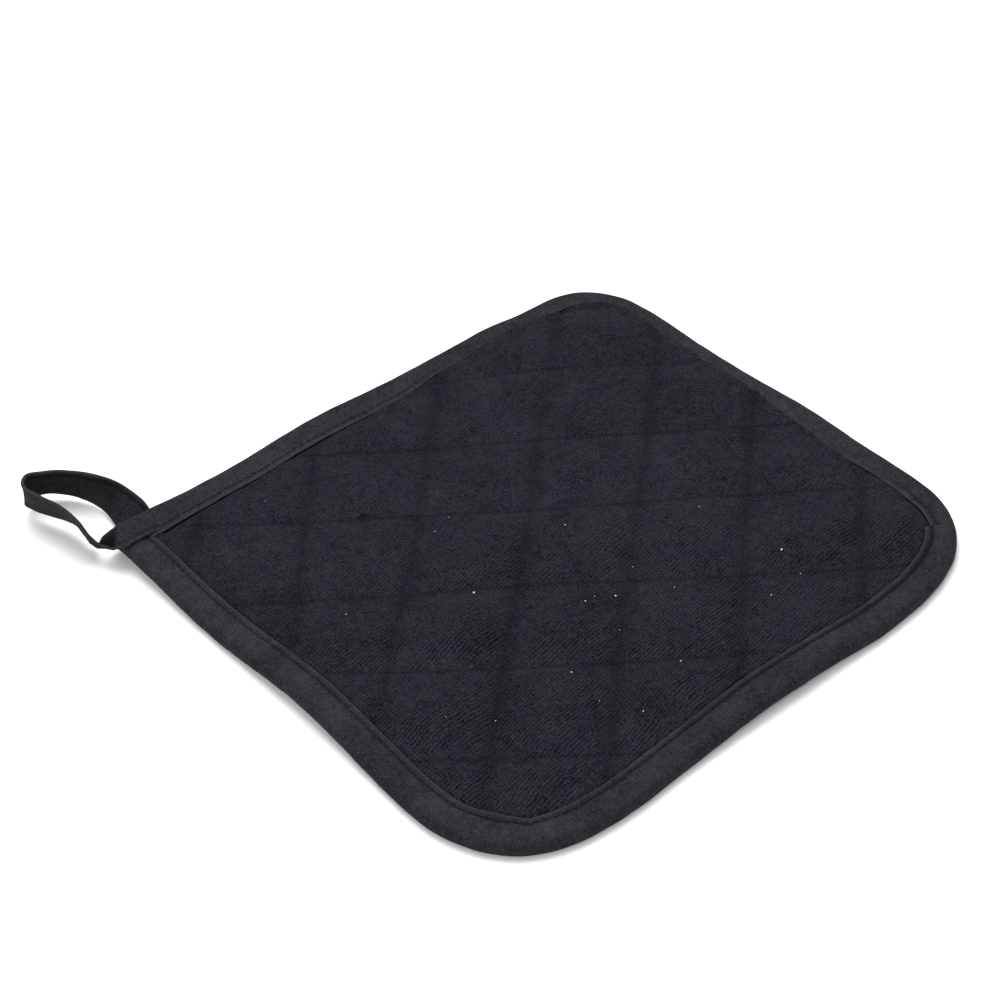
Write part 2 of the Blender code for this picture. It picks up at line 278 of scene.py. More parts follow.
def outline_stretches():
    """The outline's straight sides and rounded corners in walking order."""
    half = SIDE / 2
    corners = (
        (-half, half, 0.0),
        (-half, -half, FRONT_RADIUS),
        (half, -half, RIGHT_RADIUS),
        (half, half, BACK_RADIUS),
    )
    stretches = []
    for index, (x, y, radius) in enumerate(corners):
        heading = radians(90 * index - 90)
        ahead = np.array((cos(heading), sin(heading)))
        inward = np.array((-ahead[1], ahead[0]))
        after = corners[(index + 1) % 4][2]
        start = np.array((x, y)) + ahead * radius
        length = SIDE - radius - after
        stretches.append((length, start, heading, 0.0))
        if after:
            centre = start + ahead * length + inward * after
            stretches.append((after * pi / 2, centre, heading, after))
    return stretches


STRETCHES = outline_stretches()
OUTLINE_LENGTH = sum(stretch[0] for stretch in STRETCHES)


def outline_at(walks):
    """The outline's plan points at these walks, and the directions from them into the square."""
    points = np.zeros((len(walks), 2))
    inward = np.zeros((len(walks), 2))
    begun = 0.0
    for length, place, heading, radius in STRETCHES:
        here = (walks >= begun) & (walks <= begun + length)
        along = walks[here] - begun
        turned = heading + (along / radius if radius else 0 * along)
        inward[here] = np.stack((-np.sin(turned), np.cos(turned)), axis=1)
        if radius:
            points[here] = place - inward[here] * radius
        else:
            points[here] = place + along[:, None] * np.array((cos(heading), sin(heading)))
        begun += length
    out = bumps_at(walks, WAVES, "out")
    return points - inward * out[:, None], inward


def lift_at(x, y):
    return sum(row.height * bump_at(np.hypot(x - row.x, y - row.y), row.reach) for row in LIFTS)


def bumps_at(walks, rows, column):
    """The sum of a table's bumps along the outline."""
    return sum(getattr(row, column) * bump_at(walks - row.walk, row.half_length) for row in rows)


def read_off(rows, walks):
    """A table's second column at these walks, straight between its rows."""
    return np.interp(walks, *np.transpose(rows))


flap_at = partial(read_off, FLAPS)
groove_at = partial(read_off, GROOVES)
bulge_at = partial(read_off, BULGES)


def nearest_edge(x, y):
    """For plan points, the walk of the nearest place on the outline and how far inside it they are."""
    walks = np.arange(0.0, OUTLINE_LENGTH, OUTLINE_STEP)
    edge, inward = outline_at(walks)
    found = np.zeros(len(x))
    inside = np.zeros(len(x))
    for begin in range(0, len(x), CHUNK):
        some = np.stack((x[begin : begin + CHUNK], y[begin : begin + CHUNK]), axis=1)
        apart = some[:, None, :] - edge[None, :, :]
        nearest = (apart**2).sum(2).argmin(1)
        picked = apart[np.arange(len(some)), nearest]
        side = np.sign((picked * inward[nearest]).sum(1))
        found[begin : begin + CHUNK] = walks[nearest]
        inside[begin : begin + CHUNK] = np.hypot(*picked.T) * side
    return found, inside


def seam_offset(family, index, along):
    return family.first - family.pitch * index + np.interp(along, WANDER_ALONG, family.wander[index])


def normal_of(family):
    return -sin(radians(family.angle)), cos(radians(family.angle))


def seam_gap(family, x, y):
    """Distance from plan points to the family's nearest seam."""
    normal = normal_of(family)
    across = normal[0] * x + normal[1] * y
    along = normal[1] * x - normal[0] * y
    gaps = [np.abs(across - seam_offset(family, n, along)) for n in range(len(family.wander))]
    return np.min(gaps, axis=0)


def puff_rise(family, gap):
    """0 on a seam, rising to 1 midway to the next."""
    eased = np.sqrt(gap**2 + family.soft**2) - family.soft
    return 1.0 - (1.0 - np.minimum(eased / (family.pitch / 2), 1.0)) ** PUFF_ROUND


def ripple(x, y, wavelength, seed, count=7, shortest=0.7, longest=1.5, peak=1.6):
    """A smooth random height from -1 to 1, of waves of about this length in all directions."""
    chance = np.random.default_rng(seed)
    total = np.zeros(np.shape(x))
    for _ in range(count):
        turn = chance.uniform(0, 2 * pi)
        step = 2 * pi / (wavelength * chance.uniform(shortest, longest))
        total = total + np.sin(step * (x * cos(turn) + y * sin(turn)) + chance.uniform(0, 2 * pi))
    return total / count**0.5 / peak


def ripples(rows, along, across):
    """The sum of a table's ripples, each slanted and drawn out across the cloth."""
    return sum(
        row.height * ripple(along + row.slant * across, row.squeeze * across, row.wave, row.seed)
        for row in rows
    )


def terry_height(x, y, walk, inside):
    """The upper face: puffs between the seams, pulled down to the nip under the tape's edge."""
    crosswise, lengthwise = seam_gap(CROSSWISE, x, y), seam_gap(LENGTHWISE, x, y)
    rise = puff_rise(CROSSWISE, crosswise) * puff_rise(LENGTHWISE, lengthwise)
    from_tape = inside - flap_at(walk)
    edge = EDGE_SHARE + (1.0 - EDGE_SHARE) * smooth((from_tape - RISE_RUN) / EDGE_REACH)
    bulge = bulge_at(walk)
    off_seams = smooth(crosswise / OFF_CROSSWISE) * smooth(lengthwise / OFF_LENGTHWISE)
    swollen = BULGE_AT_SEAMS + (1.0 - BULGE_AT_SEAMS) * off_seams
    height = SEAM_TOP + (PUFF_TOP - SEAM_TOP) * rise * edge
    height = height + bulge * hump(from_tape - BULGE_IN, BULGE_HALF) * swollen
    height = height + SWELL * ripple(x, y, SWELL_WAVE, seed=3) * rise + ripples(UNEVENNESS, x, y)
    ragged = bulge * (LIP_COVERED + LIP_RAGGED * ripple(x, y, LIP_RAGGED_WAVE, seed=6))
    return NIP_TOP + (height - NIP_TOP) * smooth((from_tape + NIP_UNDER + ragged) / RISE_RUN)


def back_height(x, y, inside):
    """The under face: flat under each puff, with a shallow groove along each seam."""
    nearest = np.minimum(seam_gap(CROSSWISE, x, y), seam_gap(LENGTHWISE, x, y))
    field = BACK_GROOVE * np.maximum(0.0, 1.0 - nearest / BACK_GROOVE_HALF)
    return field + (NIP_BACK - field) * smooth(1.0 - (inside - BACK_FLAP) / RISE_RUN)


axis = np.arange(-SIDE / 2 - 2 * CELL, SIDE / 2 + 2 * CELL, CELL)
grid_x, grid_y = (plane.ravel() for plane in np.meshgrid(axis, axis))
grid_walk, grid_inside = nearest_edge(grid_x, grid_y)
kept = grid_inside > CUT_EDGE_IN
lifted = lift_at(grid_x, grid_y)
top_z = terry_height(grid_x, grid_y, grid_walk, grid_inside) + lifted
back_z = back_height(grid_x, grid_y, grid_inside) + lifted

number = np.arange(len(grid_x)).reshape(len(axis), len(axis))
corners = np.stack((number[:-1, :-1], number[:-1, 1:], number[1:, 1:], number[1:, :-1]), axis=2)
whole_cell = kept[corners].all(axis=2)
cells = corners[whole_cell]

ring = np.pad(whole_cell, 1)
walls = []
for row_step, column_step, first, second in ((-1, 0, 0, 1), (0, 1, 1, 2), (1, 0, 2, 3), (0, -1, 3, 0)):
    outside = ~np.roll(ring, (-row_step, -column_step), (0, 1))[1:-1, 1:-1]
    border = corners[whole_cell & outside]
    walls.append(np.stack((border[:, second], border[:, first]), axis=1))
walls = np.concatenate(walls)

used = np.unique(cells)
place_of = np.full(len(grid_x), -1)
place_of[used] = np.arange(len(used))
top_points = np.stack((grid_x[used], grid_y[used], top_z[used]), axis=1)
back_points = np.stack((grid_x[used], grid_y[used], back_z[used]), axis=1)
top_faces = place_of[cells]
back_faces = place_of[cells][:, ::-1] + len(used)
from_top, to_top = place_of[walls].T
wall_faces = np.stack((from_top, to_top, to_top + len(used), from_top + len(used)), axis=1)


def add_node(tree, kind, inputs=None, **settings):
    """Adds a node, sets its options, and sets or links its inputs by name."""
    made = tree.nodes.new(kind)
    for option, value in settings.items():
        setattr(made, option, value)
    for name, value in (inputs or {}).items():
        socket = made.inputs[name]
        if isinstance(value, bpy.types.NodeSocket):
            tree.links.new(value, socket)
        else:
            socket.default_value = value
    return made


def math_of(tree, operation, *values, clamp=False):
    """A Math node's result, from numbers or sockets."""
    made = add_node(tree, "ShaderNodeMath", dict(enumerate(values)), operation=operation, use_clamp=clamp)
    return made.outputs[0]


def sum_of(tree, *values):
    return reduce(lambda a, b: math_of(tree, "ADD", a, b), values)


def product_of(tree, *values):
    return reduce(lambda a, b: math_of(tree, "MULTIPLY", a, b), values)


def noise_of(tree, vector, scale, detail=2.0, roughness=0.5):
    values = {"Vector": vector, "Scale": scale, "Detail": detail, "Roughness": roughness}
    return add_node(tree, "ShaderNodeTexNoise", values).outputs["Fac"]


# A Mix node's sockets for colours: its share, both colours and its result
MIX_SHARE, MIX_DARK, MIX_LIGHT, MIX_RESULT = 0, 6, 7, 2


def mixed(tree, share, dark, light):
    """A colour between two, each a colour or a socket."""
    inputs = {MIX_SHARE: share, MIX_DARK: dark, MIX_LIGHT: light}
    return add_node(tree, "ShaderNodeMix", inputs, data_type="RGBA").outputs[MIX_RESULT]


def ramped(tree, value, low, high):
    """0 at low, 1 at high, smooth between them."""
    ends = {"Value": value, "From Min": low, "From Max": high}
    return add_node(tree, "ShaderNodeMapRange", ends, interpolation_type="SMOOTHSTEP").outputs["Result"]


def object_place(tree):
    return add_node(tree, "ShaderNodeTexCoord").outputs["Object"]


def stored(tree, name):
    """A number that the mesh keeps for each vertex."""
    return add_node(tree, "ShaderNodeAttribute", attribute_name=name).outputs["Fac"]


def paint(tree, colour):
    tree.links.new(colour, tree.nodes["Principled BSDF"].inputs["Base Color"])


def add_relief(tree, *layers):
    """Bumps the surface by layers of (height, strength, distance), each over the one before."""
    normal = None
    for height, strength, distance in layers:
        inputs = {"Strength": strength, "Distance": distance, "Height": height}
        bump = add_node(tree, "ShaderNodeBump", inputs)
        if normal is not None:
            tree.links.new(normal, bump.inputs["Normal"])
        normal = bump.outputs["Normal"]
    tree.links.new(normal, tree.nodes["Principled BSDF"].inputs["Normal"])


def new_group(name, inputs, outputs):
    """A node group with float inputs of these names and values, its input and its output sockets."""
    group = bpy.data.node_groups.new(name, "ShaderNodeTree")
    group.interface.new_socket("Vector", in_out="INPUT", socket_type="NodeSocketVector")
    for label, value in inputs.items():
        socket = group.interface.new_socket(label, in_out="INPUT", socket_type="NodeSocketFloat")
        socket.default_value = value
    for label in outputs:
        group.interface.new_socket(label, in_out="OUTPUT", socket_type="NodeSocketFloat")
    return group, group.nodes.new("NodeGroupInput").outputs, group.nodes.new("NodeGroupOutput").inputs


def cloth_mottle_group():
    """Slow and quick unevenness of dye and lint that all three cloths of the pot holder have."""
    group, given, result = new_group("cloth_mottle", {"Slow": 14.0, "Quick": 5.0}, ["Mottle"])
    layers = []
    for label, strength in (("Slow", 0.6), ("Quick", 0.4)):
        scale = math_of(group, "DIVIDE", 1.0 / MM, given[label])
        layers.append(product_of(group, noise_of(group, given["Vector"], scale, 3.0), strength))
    group.links.new(sum_of(group, *layers), result["Mottle"])
    return group


COTTON_MOTTLE = cloth_mottle_group()


def place_group(tree, group, vector, **values):
    made = tree.nodes.new("ShaderNodeGroup")
    made.node_tree = group
    tree.links.new(vector, made.inputs["Vector"])
    for label, value in values.items():
        made.inputs[label].default_value = value
    return made.outputs


TERRY_DEEP = (0.0018, 0.0018, 0.0030, 1.0)
TERRY_LIT = (0.0275, 0.0270, 0.0362, 1.0)
# The rows of loops, and the fainter rows across them
TERRY_ROWS = table(
    "x_share y_share pitch wander seed strength",
    (-0.15, 0.99, 1.2, 1.0, 0.0, 0.20), (0.96, -0.28, 0.95, 0.8, 0.4, 0.06),
)
# How the rows waver: over the whole cloth, and from loop to loop
WAVERS = table("scale reach", (16.0, 12.0), (300.0, 1.0))
TERRY_GRAIN = table("scale roughness gain", (1500.0, 0.55, 1.7), (420.0, 0.5, 0.38))
# Where the rows are clear, where there are flecks, and where the black is greyer
TERRY_PATCHES = table(
    "scale detail low high", (90.0, 2.0, 0.25, 0.55), (900.0, 1.0, 0.70, 0.80), (130.0, 2.0, 0.35, 0.65)
)
# Painted shade along the seams, where their grooves lie in shade: each family's half width and how much
# darker the colour is on it
SEAM_PAINTED_SHADE = table("family half_width depth", ("crosswise", 0.8, 0.35), ("lengthwise", 2.6, 0.27))
TINT_BLUE = (1.01, 0.97, 1.06, 1.0)
TINT_GREY = (0.99, 1.02, 0.98, 1.0)


def ribs_of(tree, place, row):
    """Wavering parallel ribs, at right angles to the row's direction."""
    parts = add_node(tree, "ShaderNodeSeparateXYZ", {0: place}).outputs
    seed = (row.seed, row.seed, row.seed)
    shifted = add_node(tree, "ShaderNodeVectorMath", {0: place, 1: seed}, operation="ADD").outputs[0]
    line = sum_of(
        tree,
        product_of(tree, parts["X"], row.x_share),
        product_of(tree, parts["Y"], row.y_share),
        *[
            product_of(tree, noise_of(tree, shifted, waver.scale, 1.0), row.wander * waver.reach * MM)
            for waver in WAVERS
        ],
    )
    wave = math_of(tree, "SINE", product_of(tree, line, 2 * pi / (row.pitch * MM)))
    return product_of(tree, wave, row.strength)


def centred(tree, value, gain):
    """A 0 to 1 value's difference from the middle, times a gain."""
    return math_of(tree, "MULTIPLY_ADD", value, gain, -gain / 2)


def shade_along_line(tree, distance, half_width, depth):
    """1 away from a line, falling to 1 - depth on it: the share of colour left by painted shade along the
    line.
    """
    near = math_of(tree, "DIVIDE", distance, half_width)
    fall = math_of(tree, "EXPONENT", product_of(tree, near, near, -1.0))
    return math_of(tree, "MULTIPLY_ADD", fall, -depth, 1.0)


def terry_material():
    """Rows of cotton loops along the cloth, sharp at the front and brushed up to a fuzz at the back."""
    made = plain_material("black_terry_cloth", TERRY_LIT, 0.95, specular=0.02, sheen=0.01)
    tree = made.node_tree
    place = object_place(tree)
    fuzzy = stored(tree, "fuzz")
    clear, flecks, greyer = [
        ramped(tree, noise_of(tree, place, row.scale, row.detail), row.low, row.high)
        for row in TERRY_PATCHES
    ]
    ribs = sum_of(tree, *[ribs_of(tree, place, row) for row in TERRY_ROWS])
    woven = product_of(tree, ribs, math_of(tree, "MULTIPLY_ADD", fuzzy, -0.7, 1.0), clear)
    grain = [
        centred(tree, noise_of(tree, place, row.scale, roughness=row.roughness), row.gain)
        for row in TERRY_GRAIN
    ]
    surface = sum_of(tree, woven, *grain, product_of(tree, flecks, 0.5))
    mottle = place_group(tree, COTTON_MOTTLE, place, Slow=15.0, Quick=3.4)["Mottle"]
    tone = sum_of(tree, surface, centred(tree, mottle, 0.95), 0.45, product_of(tree, fuzzy, 0.03))
    # Painted shade: the colour darkens along both families of seams
    seam_shade = [shade_along_line(tree, stored(tree, row.family), row.half_width, row.depth) for row in SEAM_PAINTED_SHADE]
    share = math_of(tree, "MULTIPLY", tone, product_of(tree, *seam_shade), clamp=True)
    colour = mixed(tree, share, TERRY_DEEP, TERRY_LIT)
    tint = mixed(tree, greyer, TINT_BLUE, TINT_GREY)
    tinted = add_node(tree, "ShaderNodeVectorMath", {0: colour, 1: tint}, operation="MULTIPLY")
    paint(tree, tinted.outputs[0])
    add_relief(tree, (surface, 0.6, 0.0004))
    return made


WEAVE_PITCH = 0.42
SLUB_SCALE = (160.0, 2400.0, 300.0)


def weave_group():
    """Plain weave: over and under threads in a checkered relief, along the cloth's own U and V."""
    group, given, result = new_group("plain_weave", {"Pitch": WEAVE_PITCH}, ["Height", "Slub"])
    place = given["Vector"]
    parts = add_node(group, "ShaderNodeSeparateXYZ", {0: place}).outputs
    turn = math_of(group, "DIVIDE", pi / MM, given["Pitch"])
    warp = math_of(group, "SINE", product_of(group, parts["X"], turn))
    weft = math_of(group, "SINE", product_of(group, parts["Y"], turn))
    height = math_of(group, "MULTIPLY_ADD", product_of(group, warp, weft), 0.5, 0.5)
    drawn_out = add_node(group, "ShaderNodeVectorMath", {0: place, 1: SLUB_SCALE}, operation="MULTIPLY")
    slub = noise_of(group, drawn_out.outputs[0], 1.0, 2.0, 0.6)
    group.links.new(height, result["Height"])
    group.links.new(slub, result["Slub"])
    return group


PLAIN_WEAVE = weave_group()
BACK_DARK = (0.012, 0.012, 0.016, 1.0)
BACK_LIGHT = (0.040, 0.039, 0.048, 1.0)


def back_material():
    made = plain_material("black_back_cloth", BACK_LIGHT, 0.85, specular=0.05)
    tree = made.node_tree
    place = object_place(tree)
    weave = place_group(tree, PLAIN_WEAVE, place, Pitch=0.6)
    mottle = place_group(tree, COTTON_MOTTLE, place)["Mottle"]
    woven = sum_of(tree, weave["Height"], weave["Slub"])
    share = math_of(tree, "MULTIPLY", woven, mottle, clamp=True)
    paint(tree, mixed(tree, share, BACK_DARK, BACK_LIGHT))
    add_relief(tree, (weave["Height"], 0.5, 0.0002))
    return made


def add_values(target, name, values):
    """Stores one number for each vertex, for a material to read."""
    column = target.data.attributes.new(name, "FLOAT", "POINT")
    column.data.foreach_set("value", np.asarray(values, dtype=np.float32))


quilted_square = mesh_object(
    "quilted_square",
    np.concatenate((top_points, back_points)),
    np.concatenate((top_faces, wall_faces, back_faces)),
    [terry_material(), back_material()],
)
quilted_square.data.polygons.foreach_set(
    "material_index", np.repeat((0, 1), (len(top_faces) + len(wall_faces), len(back_faces)))
)
# The back right half is brushed up by use, with a wandering border
BRUSHED_TO = (0.55, 0.85)
BRUSHED_FROM = -42.0
BRUSHED_RUN = 70.0
BORDER_WANDER = 18.0
BORDER_WAVE = 60.0
cloth_x, cloth_y = grid_x[used], grid_y[used]
past_border = cloth_x * BRUSHED_TO[0] + cloth_y * BRUSHED_TO[1] - BRUSHED_FROM
wander = BORDER_WANDER * ripple(cloth_x, cloth_y, BORDER_WAVE, seed=8)
brushed = smooth((past_border + wander) / BRUSHED_RUN)
add_values(quilted_square, "crosswise", np.tile(seam_gap(CROSSWISE, cloth_x, cloth_y), 2))
add_values(quilted_square, "lengthwise", np.tile(seam_gap(LENGTHWISE, cloth_x, cloth_y), 2))
add_values(quilted_square, "fuzz", np.tile(brushed, 2))
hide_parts("quilted_pad")
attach(quilted_square, "root")


# ---------------------------------------------------------------------------------------------------
# The quilting thread: short lockstitches of black cotton, sunk in the grooves of the upper face and
# of the back, along every seam of both families from tape to tape.

STITCH = 2.6
STITCH_SPACE = 0.5
THREAD = 0.28
THREAD_SUNK = 0.02
SEAM_STEP = 1.5
SEAM_REACH = 150.0
SEWN_PAST_TAPE = 1.5
SHORTEST_SEAM = 5
THREAD_BLACK = (0.005, 0.005, 0.006, 1.0)
THREAD_DARK = (0.003, 0.003, 0.004, 1.0)
THREAD_LIT = (0.011, 0.011, 0.014, 1.0)


def geometry_tree(name, sizes):
    """A Geometry Nodes tree with a geometry input and output and named sizes, and its input sockets."""
    tree = bpy.data.node_groups.new(name, "GeometryNodeTree")
    tree.interface.new_socket("Geometry", in_out="INPUT", socket_type="NodeSocketGeometry")
    for label, value in sizes.items():
        kind = "NodeSocketInt" if isinstance(value, int) else "NodeSocketFloat"
        tree.interface.new_socket(label, in_out="INPUT", socket_type=kind).default_value = value
    tree.interface.new_socket("Material", in_out="INPUT", socket_type="NodeSocketMaterial")
    tree.interface.new_socket("Geometry", in_out="OUTPUT", socket_type="NodeSocketGeometry")
    return tree, tree.nodes.new("NodeGroupInput").outputs


def named_value(tree, name):
    inputs = {"Name": name}
    return add_node(tree, "GeometryNodeInputNamedAttribute", inputs, data_type="FLOAT").outputs[0]


def lay_instances(tree, given, points, instance, size, **more):
    """Puts the instance on the points at this X, Y and Z size, and leads them out with the material."""
    scale = add_node(tree, "ShaderNodeCombineXYZ", dict(zip("XYZ", size))).outputs[0]
    inputs = {"Points": points, "Instance": instance, "Scale": scale, **more}
    laid = add_node(tree, "GeometryNodeInstanceOnPoints", inputs).outputs["Instances"]
    real = add_node(tree, "GeometryNodeRealizeInstances", {"Geometry": laid}).outputs["Geometry"]
    inputs = {"Geometry": real, "Material": given["Material"]}
    done = add_node(tree, "GeometryNodeSetMaterial", inputs).outputs["Geometry"]
    tree.links.new(done, tree.nodes.new("NodeGroupOutput").inputs["Geometry"])


def stitch_tree():
    """Stitches laid along curves: rounded threads of one length, with a space between them."""
    tree, given = geometry_tree("sewn_row", {"Stitch": STITCH, "Space": STITCH_SPACE, "Thread": THREAD})
    pitch = product_of(tree, sum_of(tree, given["Stitch"], given["Space"]), MM)
    inputs = {"Curve": given["Geometry"], "Length": pitch}
    points = add_node(tree, "GeometryNodeCurveToPoints", inputs, mode="LENGTH").outputs
    inputs = {"Segments": 6, "Rings": 6, "Radius": 0.5 * MM}
    thread = add_node(tree, "GeometryNodeMeshUVSphere", inputs).outputs["Mesh"]
    size = (given["Thread"], given["Thread"], given["Stitch"])
    lay_instances(tree, given, points["Points"], thread, size, Rotation=points["Rotation"])
    return tree


def grown(name, source, tree, material, **sizes):
    """Runs a tree on a source object, and puts the result in its place as a plain mesh object."""
    modifier = source.modifiers.new(name, "NODES")
    modifier.node_group = tree
    entries = {item.name: item.identifier for item in tree.interface.items_tree if item.in_out == "INPUT"}
    for label, value in {**sizes, "Material": material}.items():
        modifier[entries[label]] = value
    bpy.context.view_layer.update()
    whole = bpy.data.meshes.new_from_object(source.evaluated_get(bpy.context.evaluated_depsgraph_get()))
    whole.name = name
    whole.shade_smooth()
    bpy.data.objects.remove(source)
    made = bpy.data.objects.new(name, whole)
    collection.link(made)
    return made


def fibre_material(name, colour, dark, light, roughness, grain, detail=2.0, specular=0.05):
    """Twisted or loose fibre, with a fine grain of two tones."""
    made = plain_material(name, colour, roughness, specular)
    tree = made.node_tree
    paint(tree, mixed(tree, noise_of(tree, object_place(tree), grain, detail), dark, light))
    return made


SEWN_ROW = stitch_tree()
thread_material = fibre_material(
    "black_sewing_thread", THREAD_BLACK, THREAD_DARK, THREAD_LIT, roughness=0.8, grain=1500.0
)


def sewn(name, paths, stitch, thread):
    """Rows of stitches along lists of points in millimetres."""
    data = bpy.data.curves.new(name, "CURVE")
    data.dimensions = "3D"
    for path in paths:
        spline = data.splines.new("POLY")
        spline.points.add(len(path) - 1)
        spline.points.foreach_set("co", np.insert(path * MM, 3, 1.0, axis=1).ravel())
    lines = bpy.data.objects.new(name + "_lines", data)
    collection.link(lines)
    return grown(name, lines, SEWN_ROW, thread_material, Stitch=stitch, Space=STITCH_SPACE, Thread=thread)


def seam_paths(height, flap):
    """The seams' lines over one face of the pad, each from one tape edge to the other."""
    paths = []
    along = np.arange(-SEAM_REACH, SEAM_REACH, SEAM_STEP)
    for family in (CROSSWISE, LENGTHWISE):
        normal = np.array(normal_of(family))
        ahead = np.array((normal[1], -normal[0]))
        for index in range(len(family.wander)):
            plan = normal * seam_offset(family, index, along)[:, None] + ahead * along[:, None]
            walk, inside = nearest_edge(plan[:, 0], plan[:, 1])
            shown = inside > flap(walk) + SEWN_PAST_TAPE
            if np.count_nonzero(shown) >= SHORTEST_SEAM:
                x, y = plan[shown].T
                z = height(x, y, walk[shown], inside[shown]) - THREAD_SUNK + lift_at(x, y)
                paths.append(np.stack((x, y, z), axis=1))
    return paths


for thread_name, height, flap in (
    ("quilting_thread_top", terry_height, flap_at),
    ("quilting_thread_back", lambda x, y, walk, inside: back_height(x, y, inside), lambda walk: BACK_FLAP),
):
    quilting_thread = sewn(thread_name, seam_paths(height, flap), STITCH, THREAD)
    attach(quilting_thread, "root")


# ---------------------------------------------------------------------------------------------------
# The terry's pile: loose tips of cotton fibre that stand off the loops, thicker where use has
# brushed the cloth up, and specks of white lint that cling to it.

TIP_LENGTH = 1.0
TIP_THICK = 0.07
TIP_SEED = 5
TIP_LEAN = (1.1, 1.1, 3.1)
TIPS_EACH_CM2 = 42.0
EACH_M2 = 1e4
PILE_SIZES = {
    "Each square metre": TIPS_EACH_CM2 * EACH_M2,
    "Length": TIP_LENGTH,
    "Thick": TIP_THICK,
    "Seed": TIP_SEED,
}
TIP_LIT = (0.030, 0.029, 0.038, 1.0)
TIP_DARK = (0.008, 0.008, 0.011, 1.0)
TIP_LIGHT = (0.045, 0.044, 0.057, 1.0)
# How thick the pile stands in smooth and in brushed cloth, and in the rim of it along the tape
PILE_LEAST = 0.35
PILE_BRUSHED = 0.75
PILE_RIM = 2.5
RIM_IN = 1.0
RIM_HALF = 2.2
PILE_FROM_TAPE = 0.3


def pile_tree():
    """Fine three-sided fibre tips scattered over the marked faces of a mesh and leaning all ways."""
    tree, given = geometry_tree("pile_tips", PILE_SIZES)
    density = product_of(tree, named_value(tree, "pile"), given["Each square metre"])
    inputs = {"Mesh": given["Geometry"], "Density": density, "Seed": given["Seed"]}
    scattered = add_node(
        tree, "GeometryNodeDistributePointsOnFaces", inputs, distribute_method="RANDOM"
    ).outputs
    inputs = {"Vertices": 3, "Radius Top": 0.0, "Radius Bottom": 0.5 * MM, "Depth": 1.0 * MM}
    tip = add_node(tree, "GeometryNodeMeshCone", inputs).outputs["Mesh"]
    inputs = {"Min": [-turn for turn in TIP_LEAN], "Max": TIP_LEAN, "Seed": given["Seed"]}
    lean = add_node(tree, "FunctionNodeRandomValue", inputs, data_type="FLOAT_VECTOR").outputs[0]
    leaning = add_node(tree, "FunctionNodeEulerToRotation", {"Euler": lean}).outputs[0]
    size = (given["Thick"], given["Thick"], given["Length"])
    lay_instances(tree, given, scattered["Points"], tip, size, Rotation=leaning)
    return tree


pile_source = mesh_object("pile_source", top_points, top_faces)
from_tape = grid_inside[used] - flap_at(grid_walk[used])
rim = hump(from_tape - RIM_IN, RIM_HALF) * brushed * PILE_RIM
pile = PILE_LEAST + PILE_BRUSHED * brushed + rim
add_values(pile_source, "pile", np.where(from_tape > PILE_FROM_TAPE, pile, 0.0))
black_tips = fibre_material(
    "black_fibre_tips", TIP_LIT, TIP_DARK, TIP_LIGHT, roughness=0.9, grain=700.0, detail=1.0
)
terry_pile = grown("terry_pile", pile_source, pile_tree(), black_tips, **PILE_SIZES)
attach(terry_pile, "root")

# The specks of lint, by their places on the cloth and their widths
SPECKS = table(
    "x y width",
    (44.4, -56.5, 0.75), (-33.3, -4.3, 0.75), (-3.7, -35.4, 0.6), (-12.7, -32.1, 0.5),
    (-34.7, -51.6, 0.5), (-8.7, -69.8, 0.5), (5.4, -1.4, 0.42), (-30.8, -78.5, 0.42),
    (-68.3, 13.0, 0.42), (28.6, -68.5, 0.42), (42.4, -66.6, 0.36), (10.6, -45.8, 0.32),
    (-62.4, -50.7, 0.32), (-24.7, 26.0, 0.32), (8.8, -28.9, 0.32), (40.7, -24.0, 0.32),
    (-17.2, 28.5, 0.28), (-73.0, -41.6, 0.28), (-9.0, -32.0, 0.28), (-36.4, -65.9, 0.28),
    (-12.6, -47.4, 0.28), (-55.1, 74.5, 0.28),
)
SPECK_FLAT = 0.6
SPECK_RISE = 0.25
LINT_WHITE = (0.55, 0.55, 0.58, 1.0)
LINT_DARK = (0.22, 0.22, 0.24, 1.0)
LINT_LIGHT = (0.80, 0.80, 0.82, 1.0)


def lint_tree():
    """A flattened ball of fluff on each point, as wide as the point's own width."""
    tree, given = geometry_tree("lint_specks", {"Flatness": SPECK_FLAT})
    width = named_value(tree, "width")
    inputs = {"Radius": 0.5 * MM, "Subdivisions": 2}
    fluff = add_node(tree, "GeometryNodeMeshIcoSphere", inputs).outputs["Mesh"]
    size = (width, width, product_of(tree, width, given["Flatness"]))
    lay_instances(tree, given, given["Geometry"], fluff, size)
    return tree


speck_x, speck_y, speck_width = np.transpose(SPECKS)
speck_z = terry_height(speck_x, speck_y, *nearest_edge(speck_x, speck_y)) + lift_at(speck_x, speck_y)
lint_points = mesh_object("lint_points", np.stack((speck_x, speck_y, speck_z + SPECK_RISE), axis=1), [])
add_values(lint_points, "width", speck_width)
white_lint = fibre_material(
    "white_lint", LINT_WHITE, LINT_DARK, LINT_LIGHT, roughness=0.9, grain=4000.0, specular=0.5
)
lint = grown("lint_specks", lint_points, lint_tree(), white_lint, Flatness=SPECK_FLAT)
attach(lint, "root")


# ---------------------------------------------------------------------------------------------------
# The edge binding: black woven cotton tape cut on the bias, folded round the pad's cut edge and sewn
# through near its inner edge. Its end laps over its start at the square corner.

EDGE_HEIGHT = 5.6
TAPE = 1.0
STITCH_IN = 2.2
BEND_START = 2.4
# The two ends: where the tape starts and stops, its lap over itself, and how flat it is pressed there
START_WALK = 3.4
END_LEFT = 4.6
LAP = 0.6
LAP_OUT = 0.3
LAP_OUT_RUN = 6.0
LAP_WALK = 12.6
LAP_FADE = 18.0
SQUASH = 0.5
SQUASH_RUN = 5.0
START_SQUASHED = 6.0
END_SQUASHED = 5.0
# Sections stand evenly, and close together at the crease on the back
TAPE_STEP = 1.5
CREASE_WALKS = (381.4, 382.0, 382.3, 382.6, 383.2, 383.8)

